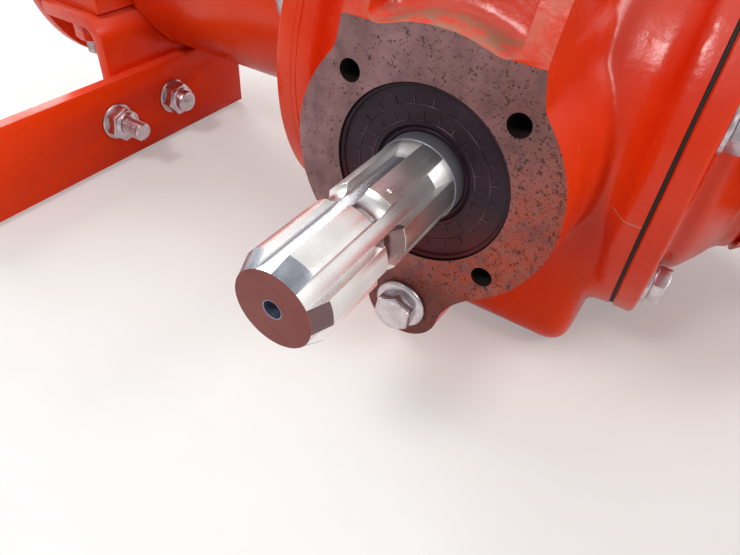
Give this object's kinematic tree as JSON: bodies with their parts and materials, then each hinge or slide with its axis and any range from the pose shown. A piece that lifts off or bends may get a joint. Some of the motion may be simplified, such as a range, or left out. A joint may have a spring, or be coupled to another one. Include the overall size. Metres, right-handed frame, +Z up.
{
  "type": "rotavator drive gearbox",
  "caption": "Right-angle cast gearbox of a rotary tiller, with a splined input shaft, flanged axle tubes at its sides and a saddle bracket under the left tube.",
  "frame": {"origin": "where the input shaft's axis meets the machined front face", "axes": "+X to the right seen from the front, along the cross shaft; +Y backwards, along the input shaft into the case; +Z up"},
  "size_m": [0.5847, 0.3386, 0.24],
  "materials": {
    "enamel": "gloss enamel on cast iron and steel plate",
    "spline_steel": "machined and bright",
    "zinc": "zinc plated",
    "seal_rubber": "matt",
    "gasket_paper": "oiled paper",
    "inner_steel": "oiled"
  },
  "bodies": {
    "gearbox": {"housing": "enamel", "input_seal": "seal_rubber", "input_bearings": "inner_steel", "cross_bearings": "inner_steel", "level_plug": "zinc", "filler_plug": "zinc", "drain_plug": "zinc", "right_gasket": "gasket_paper", "right_neck": "enamel", "right_bolts": "zinc", "right_washers": "zinc", "right_tube": "enamel", "right_end_flange": "enamel", "left_gasket": "enamel", "left_flange": "enamel", "left_bolts": "zinc", "left_washers": "zinc", "left_tube": "enamel", "left_end_flange": "enamel", "left_end_bearing": "inner_steel", "rear_gasket": "gasket_paper", "rear_cover": "enamel", "rear_bolts": "zinc", "saddle_bracket": "enamel", "clamp_block": "enamel", "clamp_bolt": "zinc", "clamp_nut": "enamel", "hanger_plate": "enamel", "bracket_bolts": "zinc", "bracket_nuts": "zinc"},
    "input_line": {"input_shaft": "spline_steel", "pinion": "inner_steel"},
    "cross_line": {"cross_shaft": "spline_steel", "crown_wheel": "inner_steel"}
  },
  "joints": [
    {"name": "cross_spin", "type": "hinge", "parent": "gearbox", "child": "cross_line", "pos_m": [0, 0.137, 0], "axis": [1, 0, 0], "continuous": true},
    {"name": "input_spin", "type": "hinge", "parent": "gearbox", "child": "input_line", "pos_m": [0, 0, 0], "axis": [0, 1, 0], "continuous": true}
  ],
  "couplings": [
    {"joint": "input_spin", "follows": "cross_spin", "ratio": -2.25}
  ]
}
